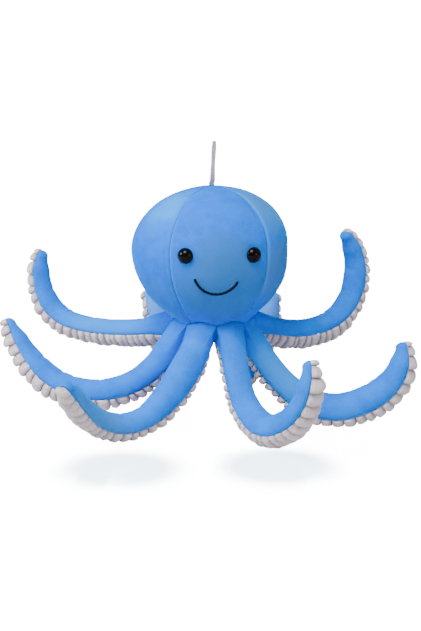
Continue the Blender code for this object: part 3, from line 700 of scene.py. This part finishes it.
# patches of painted shade and painted light on the arms: the middle and reach of a patch in metres,
# its share and its tint
ARM_PAINTED_LIGHT_AND_SHADE = (
    ((-0.125, -0.15, 0.035), 0.075, 0.9, TEAL_PAINTED_SHADE),
    ((-0.04, 0.195, 0.105), 0.07, 0.7, HAZY_BLUE_PAINTED_LIGHT),
    ((0.115, 0.19, 0.105), 0.07, 0.7, HAZY_BLUE_PAINTED_LIGHT),
    ((0.08, -0.045, 0.06), 0.065, 0.7, BLUE_PAINTED_LIGHT),
    ((-0.13, 0.06, 0.095), 0.09, 0.5, BLUE_PAINTED_LIGHT),
)


def cover_point(arm, creases, u, v):
    """A point of a cover, across it and from the root out."""
    seam = abs(2 * u - 1)
    angle = (2 * u - 1) * SIDE_SEAM
    rise = lumps(arm.point(v, angle, 0.0), COVER_LUMPS, arm.seed)
    for place, depth, lean in creases:
        off = (v - place - lean * angle * CREASE_SLANT) / CREASE_SPREAD
        rise -= depth * math.exp(-off * off) * max(0.0, math.cos(angle * CREASE_AROUND)) ** 2
    rise *= 1 - seam**8
    rise -= COVER_SEAM_DIP * seam**8 + COVER_TUCK * at_end(seam, COVER_TUCK_SHARE)
    point = arm.skin(v, angle, rise)
    swell = smooth(v / ROOT_SWELL_FULL) * (1 - smooth((v - ROOT_SWELL_FALLS) / ROOT_SWELL_FALL))
    swell *= max(0.0, math.cos(angle)) ** 1.5
    point.z += ROOT_SWELL * math.sin(arm.azimuth) ** 2 * swell
    return point


cover_velour = velour("blue_velour_arms", *ARM_BLUES, ARM_PAINTED_LIGHT_AND_SHADE)
arms = [Arm(name) for name in ARMS]
for arm in arms:
    rng = random.Random(arm.seed)
    creases = [(CREASES_START + CREASES_RUN * (i + rng.random() * CREASE_JITTER) / CREASES_PER_ARM,
                rng.uniform(*CREASE_DEPTHS) * MM, rng.uniform(-CREASE_LEAN, CREASE_LEAN))
               for i in range(CREASES_PER_ARM)]
    cover = sheet_of(arm.name + "_velour", COVER_ACROSS, COVER_ALONG,
                     lambda u, v: cover_point(arm, creases, u, v))
    give_wall(cover, COVER_WALL)
    cover.data.materials.append(cover_velour)
    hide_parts(arm.name + "_cover", arm.name + "_filling")
    arm.blend(cover)

# The arms' undersides: strips of white velour, longer than the arm and gathered onto it, so that
# the spare length stands in plump rolls across the strip. Deep creases part the rolls, which vary a
# little in length, height and slant, and their ends are drawn in at the side seams.
RIBS = 28
RIB_GROWTH = 0.55
RIB_LENGTHS = (0.88, 1.12)
RIB_HEIGHTS = (0.72, 1.12)
RIB_SLANT = 0.26
RIB_SEED = 40
RIB_DEPTH = 3.1 * MM
RIB_PROUD = 2.3 * MM
RIB_START = 0.35
RIB_FULL_SHARE = 0.2
RIB_OVERHANG = 0.1
ROLL_LEAN = 0.85
ROLL_BLUNT = 0.6
RIB_LUMPS = ((0.6 * MM, 4.5 * MM, 2),)
PLEAT_DEPTH = 3.2 * MM
PLEAT_WIDTH = 0.3
PLEATS_AROUND = 7.5
PLEATS_ALONG = (1.7, 0.7)
STRIP_ACROSS = 34
STRIP_PER_RIB = 10
STRIP_WALL = 0.8 * MM
STRIP_SEAM_DIP = 0.5 * MM
STRIP_TUCK = 1.8 * MM
STRIP_TUCK_SHARE = 0.07
TABLE_Z = 0.0
WHITE_PATCHES = (60.0, 3.0, 0.5)
WHITE_STREAKS = (420.0, 3.0, 0.65)
WHITE_GRAIN = (1500.0, 2.0, 0.7)
WHITE_SHADED = (0.68, 0.59, 0.63)
WHITE_PILE = (0.80, 0.70, 0.74)
WHITE_BRUSHED = (0.93, 0.84, 0.87)
WHITE_CREASE_PAINTED_SHADE = (0.21, 0.19, 0.22)


def white_velour():
    """Undyed velour: painted shade in its creases, fine pile, and a faint warm cast on the rolls.
    """
    mat, tree, shader = new_material("white_velour")
    patches = speckle(tree, *WHITE_PATCHES)
    streaks = speckle(tree, *WHITE_STREAKS)
    pile = speckle(tree, *WHITE_GRAIN)
    crease = add_node(tree, "ShaderNodeAttribute", {"attribute_name": "crease"}, out="Fac")
    tone = mix(tree, patches.between(0.35, 0.65), WHITE_SHADED, WHITE_PILE)
    tone = mix(tree, streaks.between(0.4, 0.75) * 0.5, tone, WHITE_BRUSHED)
    # painted shade in the creases between the rolls
    tone = mix(tree, crease * 0.72, tone, WHITE_CREASE_PAINTED_SHADE)
    set_sockets(shader, Base_Color=tone, Roughness=0.95, Specular_IOR_Level=0.0, Sheen_Weight=0.25,
                Sheen_Roughness=0.4, Normal=relief(tree, pile * 0.8 + streaks * 0.9, 0.6, 0.4 * MM))
    return mat


def roll_at(v):
    """The roll at a share of the strip: its number, the share within it, and how far it stands."""
    row = v * RIBS
    rib = min(int(row), RIBS - 1)
    leaning = (row - rib) ** ROLL_LEAN
    return rib, row - rib, (4 * leaning * (1 - leaning)) ** ROLL_BLUNT


def strip_point(arm, edges, heights, slants, u, v):
    """A point of a gathered strip, across it and from the root out."""
    seam = abs(2 * u - 1)
    angle = math.pi + (2 * u - 1) * (math.pi - SIDE_SEAM)
    rib, within, puff = roll_at(v)
    length = edges[rib + 1] - edges[rib]
    slant = (slants[rib] * (1 - within) + slants[rib + 1] * within) * (2 * u - 1) / RIBS
    share = edges[rib] + length * within + slant
    share -= RIB_OVERHANG * puff * (1 - within) * length * (1 - seam**4)
    grown = min(1.0, RIB_START + (1 - RIB_START) * share / RIB_FULL_SHARE)
    rise = (RIB_PROUD * grown + RIB_DEPTH) * puff * heights[rib] * (1 - 0.35 * seam**4)
    rise -= RIB_DEPTH * (1 - 0.3 * seam**4)
    share = min(max(share, 0.0), 1.0) if 0 < v < 1 else v
    rise += lumps(arm.point(share, angle, 0.0), RIB_LUMPS, arm.seed)
    per_rib, in_rib = PLEATS_ALONG
    pleat = noise.noise(Vector((angle * PLEATS_AROUND, per_rib * rib + in_rib * within, arm.seed)))
    pleat = max(0.0, PLEAT_WIDTH - abs(pleat)) * (0.5 + 0.5 * (1 - puff) + 0.4 * seam**2)
    rise -= PLEAT_DEPTH * pleat + STRIP_SEAM_DIP * seam**4
    rise -= STRIP_TUCK * at_end(seam, STRIP_TUCK_SHARE)
    point = arm.skin(share, angle if angle < math.pi else angle - math.tau, rise)
    point.z = max(point.z, TABLE_Z)
    return point


strip_velour = white_velour()
for arm in arms:
    rng = random.Random(RIB_SEED + arm.seed)
    lengths = [(1 + RIB_GROWTH * i / RIBS) * rng.uniform(*RIB_LENGTHS) for i in range(RIBS)]
    heights = [rng.uniform(*RIB_HEIGHTS) for _ in range(RIBS)]
    slants = [rng.uniform(-RIB_SLANT, RIB_SLANT) for _ in range(RIBS + 1)]
    edges = [sum(lengths[:i]) / sum(lengths) for i in range(RIBS + 1)]
    # each point keeps how deep it lies in a crease, which paints shade there
    strip = sheet_of(arm.name + "_gathers", STRIP_ACROSS, RIBS * STRIP_PER_RIB,
                     lambda u, v: strip_point(arm, edges, heights, slants, u, v),
                     crease=lambda v: (1 - roll_at(v)[2]) ** 0.7)
    give_wall(strip, STRIP_WALL)
    strip.data.materials.append(strip_velour)
    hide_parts(arm.name + "_underside")
    arm.blend(strip)

# The base: a disc of the white velour that closes the body between the arms. It is sewn to the
# roots of the strips all round, its edge tucked up into the seam and puckered by the stitches.
BASE_RADIUS = 29 * MM
BASE_Z = ROOT_Z - 12 * MM
BASE_CROWN = 2.2 * MM
BASE_SIDES = 96
BASE_CUTS = 11
BASE_WALL = 0.8 * MM
BASE_PUCKERS = 24
BASE_PUCKER_DEPTH = 0.5 * MM
BASE_PUCKER_SHARE = 0.4
BASE_TUCK = 2.6 * MM
BASE_TUCK_SHARE = 0.15
bpy.ops.mesh.primitive_circle_add(vertices=BASE_SIDES, radius=BASE_RADIUS, fill_type="TRIFAN")
base = bpy.context.object
base.name = "base_disc"
edit(base, (bpy.ops.mesh.subdivide, {"number_cuts": BASE_CUTS}))
for vert in base.data.vertices:
    share = vert.co.length / BASE_RADIUS
    turn = math.atan2(vert.co.y, vert.co.x)
    pucker = BASE_PUCKER_DEPTH * math.sin(BASE_PUCKERS * turn) * at_end(share, BASE_PUCKER_SHARE)
    tuck = BASE_TUCK * at_end(share, BASE_TUCK_SHARE)
    vert.co.z = BASE_Z - BASE_CROWN * (1 - share**2) + tuck + pucker
    vert.co.x += AXIS.x
    vert.co.y += AXIS.y
base.data.flip_normals()
give_wall(base, BASE_WALL)
base.data.materials.append(strip_velour)
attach(base, "head")
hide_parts("base_panel")

# The eyes: 18 mm domes of black glossy plastic with a rounded rim. Each has a shank that goes
# through the face and through a plastic washer, which locks it behind the panel.
DOME_HEIGHT = 6.4 * MM
DOME_STEPS = 20
DOME_EDGE = 0.3 * MM
RIM_HEIGHT = 0.8 * MM
RIM_SINK = 1.3 * MM
SHANK_RADIUS = 2.4 * MM
SHANK_LENGTH = 12 * MM
EYE_FACETS = 72
SMOOTH_PLASTIC = math.radians(40)
EYE_BLACKS = ((0.0010, 0.0007, 0.0006), (0.0035, 0.0022, 0.0018))
WASHER_TONES = ((0.72, 0.72, 0.69), (0.82, 0.82, 0.79))


def new_piece(name, verts, edges, faces):
    """A piece from its points."""
    mesh = bpy.data.meshes.new(name)
    mesh.from_pydata(verts, edges, faces)
    obj = bpy.data.objects.new(name, mesh)
    bpy.context.collection.objects.link(obj)
    return obj


eye_gloss, tree, shader = new_material("black_eye_plastic")
swirl = speckle(tree, 90.0)
set_sockets(shader, Base_Color=mix(tree, swirl, *EYE_BLACKS), Roughness=swirl * 0.05 + 0.05,
            Specular_IOR_Level=0.12)
dome_radius = (EYE_RADIUS**2 + DOME_HEIGHT**2) / (2 * DOME_HEIGHT)
dome_angle = math.asin((EYE_RADIUS - DOME_EDGE) / dome_radius)
# radius and height along the dome, round the rim and down the shank
eye_profile = [(dome_radius * math.sin(angle),
                RIM_HEIGHT + DOME_HEIGHT - dome_radius * (1 - math.cos(angle)))
               for angle in (dome_angle * i / DOME_STEPS for i in range(DOME_STEPS + 1))]
eye_profile += [(EYE_RADIUS - 0.05 * MM, 0.75 * RIM_HEIGHT), (EYE_RADIUS, 0.3 * RIM_HEIGHT),
                (EYE_RADIUS - 0.1 * MM, -0.6 * RIM_SINK), (EYE_RADIUS - 0.6 * MM, -RIM_SINK),
                (SHANK_RADIUS + 0.5 * MM, -RIM_SINK), (SHANK_RADIUS, -RIM_SINK - 0.5 * MM),
                (SHANK_RADIUS, 0.6 * MM - SHANK_LENGTH), (SHANK_RADIUS - 0.6 * MM, -SHANK_LENGTH),
                (0.0, -SHANK_LENGTH)]
for side, word in ((-1, "left"), (1, "right")):
    seat, outward = eye_seat(side)
    up = Vector((0.0, 0.0, 1.0))
    eye = new_piece("eye_" + word + "_dome",
                    [seat + up * radius + outward * height for radius, height in eye_profile],
                    [(i, i + 1) for i in range(len(eye_profile) - 1)], [])
    edit(eye, (bpy.ops.mesh.spin,
               {"steps": EYE_FACETS, "angle": math.tau, "center": seat, "axis": outward}),
         (bpy.ops.mesh.remove_doubles, {"threshold": WELD}),
         (bpy.ops.mesh.normals_make_consistent, {"inside": False}))
    bpy.ops.object.shade_smooth_by_angle(angle=SMOOTH_PLASTIC)
    eye.data.materials.append(eye_gloss)
    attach(eye, "head")
    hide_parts("eye_" + word)

washer_white, tree, shader = new_material("washer_plastic")
set_sockets(shader, Base_Color=mix(tree, speckle(tree, 300.0), *WASHER_TONES), Roughness=0.5)
for word in ("left", "right"):
    bpy.data.objects["eye_washer_" + word].material_slots[0].material = washer_white

# The mouth: black embroidery thread of four twisted strands, laid on the face in one curve and
# caught down with a short stitch at each end. Its left end is a little higher than its right.
MOUTH_TURN = -3.4
MOUTH_HALF_TURN = 15.4
MOUTH_BOTTOM_Z = HEAD_RING_Z - 43.5 * MM
MOUTH_RISE = 15.7 * MM
MOUTH_TILT = 1.9 * MM
MOUTH_END_ANGLE = math.radians(15)
HALVINGS = 30
THREAD_RADIUS = 1.4 * MM
THREAD_PROUD = 0.55 * THREAD_RADIUS
THREAD_STRANDS = 4
THREAD_TWIST = 5.2 * MM
STRAND_DEPTH = 0.2
THREAD_STEPS = 260
THREAD_SIDES = 24
THREAD_BLUNT = 0.02
TICK_STEPS = 6
TICK = 2.2 * MM
LEFT_TICK = Vector((-0.5 * TICK, 0.0, 0.35 * TICK))
RIGHT_TICK = Vector((0.5 * TICK, 0.0, 0.45 * TICK))
SMOOTH_THREAD = math.radians(60)
THREAD_BLACKS = ((0.003, 0.003, 0.005), (0.012, 0.012, 0.018))


def face_point(azimuth, z, proud):
    """A point over the face panel at a height."""
    low, high = UPPER_SHARE, 1.0
    for _ in range(HALVINGS):
        middle = (low + high) / 2
        low, high = (middle, high) if head_profile(middle, azimuth)[1] > z else (low, middle)
    return head_point(azimuth, low, -proud)


def mouth_point(t):
    """A point of the mouth from its left end at 0 to its right end at 1."""
    turn = MOUTH_END_ANGLE + (math.pi - 2 * MOUTH_END_ANGLE) * t
    across = math.cos(turn) / math.cos(MOUTH_END_ANGLE)
    climb = (1 - math.sin(turn)) / (1 - math.sin(MOUTH_END_ANGLE))
    azimuth = math.radians(MOUTH_TURN - MOUTH_HALF_TURN * across)
    z = MOUTH_BOTTOM_Z + (MOUTH_RISE + MOUTH_TILT * across) * climb
    return face_point(azimuth, z, THREAD_PROUD)


line = [mouth_point(i / THREAD_STEPS) for i in range(THREAD_STEPS + 1)]
line = ([line[0] + LEFT_TICK * (1 - i / TICK_STEPS) for i in range(TICK_STEPS)] + line
        + [line[-1] + RIGHT_TICK * (i / TICK_STEPS) for i in range(1, TICK_STEPS + 1)])
run = [0.0]
for here, after in zip(line, line[1:]):
    run.append(run[-1] + (after - here).length)
verts = []
for i, point in enumerate(line):
    along = (line[min(i + 1, len(line) - 1)] - line[max(i - 1, 0)]).normalized()
    outward = Vector((point.x - AXIS.x, point.y - AXIS.y, 0.0)).normalized()
    outward = (outward - along * outward.dot(along)).normalized()
    aside = along.cross(outward)
    end = min(run[i], run[-1] - run[i])
    taper = math.sqrt(min(1.0, end / THREAD_RADIUS + THREAD_BLUNT))
    for k in range(THREAD_SIDES):
        angle = math.tau * k / THREAD_SIDES
        lobe = abs(math.sin((THREAD_STRANDS * angle + math.tau * run[i] / THREAD_TWIST) / 2))
        reach = THREAD_RADIUS * taper * (1 - STRAND_DEPTH * (1 - lobe))
        verts.append(point + reach * (math.cos(angle) * outward + math.sin(angle) * aside))
last_ring = (len(line) - 1) * THREAD_SIDES
faces = [tuple(range(THREAD_SIDES)), tuple(range(last_ring, last_ring + THREAD_SIDES))]
for ring in range(0, last_ring, THREAD_SIDES):
    for k in range(THREAD_SIDES):
        here, beside = ring + k, ring + (k + 1) % THREAD_SIDES
        faces.append((here, beside, beside + THREAD_SIDES, here + THREAD_SIDES))
mouth = new_piece("mouth_embroidery", verts, [], faces)
edit(mouth, (bpy.ops.mesh.normals_make_consistent, {"inside": False}))
bpy.ops.object.shade_smooth_by_angle(angle=SMOOTH_THREAD)
black_thread, tree, shader = new_material("black_thread")
fibres = speckle(tree, 2200.0)
set_sockets(shader, Base_Color=mix(tree, fibres.between(0.3, 0.7), *THREAD_BLACKS), Roughness=0.6,
            Specular_IOR_Level=0.05, Normal=relief(tree, fibres, 0.4, 0.1 * MM))
mouth.data.materials.append(black_thread)
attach(mouth, "head")
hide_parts("mouth_thread")

# The hanging loop: a flat satin ribbon folded double, both tails sewn into the crown seam. It
# stands up flat to the front, turns a little in the middle, leans right, and narrows to its fold.
LOOP_HEIGHT = 50.2 * MM
LOOP_SUNK = 2.8 * MM
LOOP_ASIDE = 1.1 * MM
LOOP_ASIDE_START = 0.05
LOOP_ASIDE_RUN = 0.1
LOOP_LEAN = 2.3 * MM
LOOP_BOW = 3.4 * MM
FOLD_START = 0.96
FOLD_DROOP = 0.9 * MM
FOLD_DROOP_SHARE = 0.07
# widths in mm and turns in degrees, from the crown up to the fold
RIBBON_WIDTHS = (6.0, 6.0, 5.5, 5.0, 4.6, 4.4, 4.5, 4.8, 5.1, 5.2, 3.6)
RIBBON_TWISTS = (0, 3, 8, 14, 18, 18, 14, 8, 3, 0, 0)
RIBBON_STEPS = 120
RIBBON_ACROSS = 12
RIBBON_WALL = 0.55 * MM
RIBBON_PICKS = 1500
SATIN_TONES = ((0.30, 0.28, 0.33), (0.41, 0.38, 0.44))
SATIN_EDGE = (0.20, 0.185, 0.22)
SATIN_PICK = (0.25, 0.235, 0.28)


def ribbon_place(u, v):
    """A point of the ribbon, across it and along it, up the front and down the back."""
    climb = 1 - abs(2 * v - 1)
    rise = climb
    bow = LOOP_BOW * math.sin(math.pi * min(climb, FOLD_START) ** 0.8) ** 0.7
    if climb > FOLD_START:
        rise = math.sin(climb * math.pi / 2) ** 0.9
        bow *= math.sqrt((1 - climb) / (1 - FOLD_START))
    front = 1 if v < 0.5 else -1
    twist = math.radians(curve_value(RIBBON_TWISTS, climb))
    across = (u - 0.5) * curve_value(RIBBON_WIDTHS, climb) * MM
    aside = LOOP_ASIDE * smooth((climb - LOOP_ASIDE_START) / LOOP_ASIDE_RUN)
    aside += LOOP_LEAN * climb**1.5
    z = (LOOP_HEIGHT + LOOP_SUNK) * rise - LOOP_SUNK
    z -= FOLD_DROOP * at_end(climb, FOLD_DROOP_SHARE) * (2 * u - 1) ** 2
    return LOOP_FOOT + Vector((across * math.cos(twist) + aside,
                               -front * bow - across * math.sin(twist), z))


loop = sheet_of("ribbon_loop", RIBBON_ACROSS, RIBBON_STEPS, ribbon_place)
give_wall(loop, RIBBON_WALL)
satin, tree, shader = new_material("satin_ribbon")
across = abs(across_cloth(tree) * 2 - 1)
along = add_node(tree, "ShaderNodeSeparateXYZ", None, spot(tree, "UV"), out="Y")
picks = along.math("SINE", along * RIBBON_PICKS) * 0.5 + 0.5
tone = mix(tree, speckle(tree, 700.0), *SATIN_TONES)
tone = mix(tree, across.between(0.72, 0.95) * 0.2, tone, SATIN_EDGE)
tone = mix(tree, picks * 0.18, tone, SATIN_PICK)
selvedge = across.between(0.8, 0.9)
set_sockets(shader, Base_Color=tone, Roughness=0.42, Specular_IOR_Level=0.2, Sheen_Weight=0.2,
            Sheen_Roughness=0.3, Normal=relief(tree, picks + selvedge, 0.35, 0.1 * MM))
loop.data.materials.append(satin)
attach(loop, "hang_loop")
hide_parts("hang_loop")
bpy.data.objects["loop_anchor"].material_slots[0].material = satin
